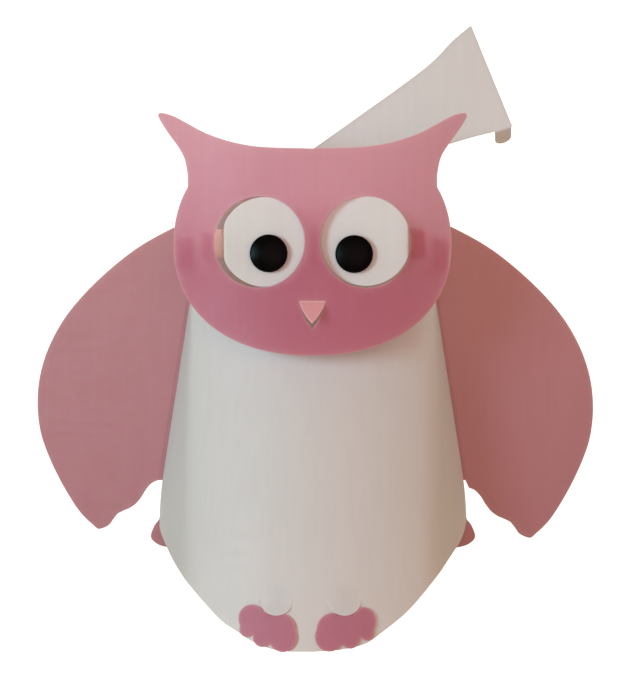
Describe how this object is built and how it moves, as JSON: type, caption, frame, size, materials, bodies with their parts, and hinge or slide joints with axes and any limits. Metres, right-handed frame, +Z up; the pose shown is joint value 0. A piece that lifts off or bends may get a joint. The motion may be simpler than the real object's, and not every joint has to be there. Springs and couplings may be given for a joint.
{
  "type": "owl puppet",
  "caption": "Owl puppet of thin bent plastic sheet: open body sleeve for a hand, flapping wings, nodding face mask, folded beak and a swinging strap.",
  "frame": {"origin": "centre of the hang hole, on the rear face of the back panel", "axes": "+Z up along the figure, +Y out of the back (along the hang hole), the owl faces -Y, +X to the viewer's right"},
  "size_m": [0.2936, 0.0916, 0.3103],
  "materials": {
    "pink_sheet": "translucent polypropylene sheet, fine matt grain",
    "mask_sheet": "translucent polypropylene sheet, fine matt grain",
    "white_sheet": "translucent polypropylene sheet, fine matt grain",
    "eye_white": "opaque matt plastic sheet",
    "pupil_black": "moulded plastic with a soft satin face",
    "rivet_white": "moulded nylon",
    "rivet_pink": "moulded nylon"
  },
  "bodies": {
    "body": {"back_panel": "pink_sheet", "body_front": "white_sheet", "left_wing_root": "pink_sheet", "right_wing_root": "pink_sheet", "left_foot": "pink_sheet", "right_foot": "pink_sheet", "strap_rivet": "rivet_white", "strap_rivet_cap": "rivet_white", "side_rivets": "rivet_pink", "side_rivet_caps": "rivet_white", "mask_rivets": "rivet_pink", "mask_rivet_caps": "rivet_white"},
    "head": {"face_mask": "mask_sheet", "left_eye_disc": "eye_white", "right_eye_disc": "eye_white", "left_pupil": "pupil_black", "right_pupil": "pupil_black", "left_pupil_cap": "pupil_black", "right_pupil_cap": "pupil_black"},
    "beak": {"beak_flap": "mask_sheet"},
    "left_wing": {"left_wing": "pink_sheet"},
    "right_wing": {"right_wing": "pink_sheet"},
    "strap": {"hand_strap": "white_sheet"}
  },
  "joints": [
    {"name": "head_nod", "type": "hinge", "parent": "body", "child": "head", "pos_m": [0, -0.014, -0.02], "axis": [1, 0, 0], "range_deg": [-15, 9]},
    {"name": "beak_fold", "type": "hinge", "parent": "head", "child": "beak", "pos_m": [0, -0.0696, -0.0442], "axis": [-1, 0, 0], "range_deg": [-36, 40]},
    {"name": "left_wing_flap", "type": "hinge", "parent": "body", "child": "left_wing", "pos_m": [-0.06923, -0.0012, -0.07], "axis": [0.157, 0, 0.9876], "range_deg": [-55, 55], "stiffness_Nm_per_rad": 0.01},
    {"name": "right_wing_flap", "type": "hinge", "parent": "body", "child": "right_wing", "pos_m": [0.06923, -0.0012, -0.07], "axis": [0.157, 0, -0.9876], "range_deg": [-55, 55], "stiffness_Nm_per_rad": 0.01},
    {"name": "strap_swing", "type": "hinge", "parent": "body", "child": "strap", "pos_m": [-0.0146, 0.0007, 0.0205], "axis": [0, -1, 0], "range_deg": [-25, 100]}
  ]
}
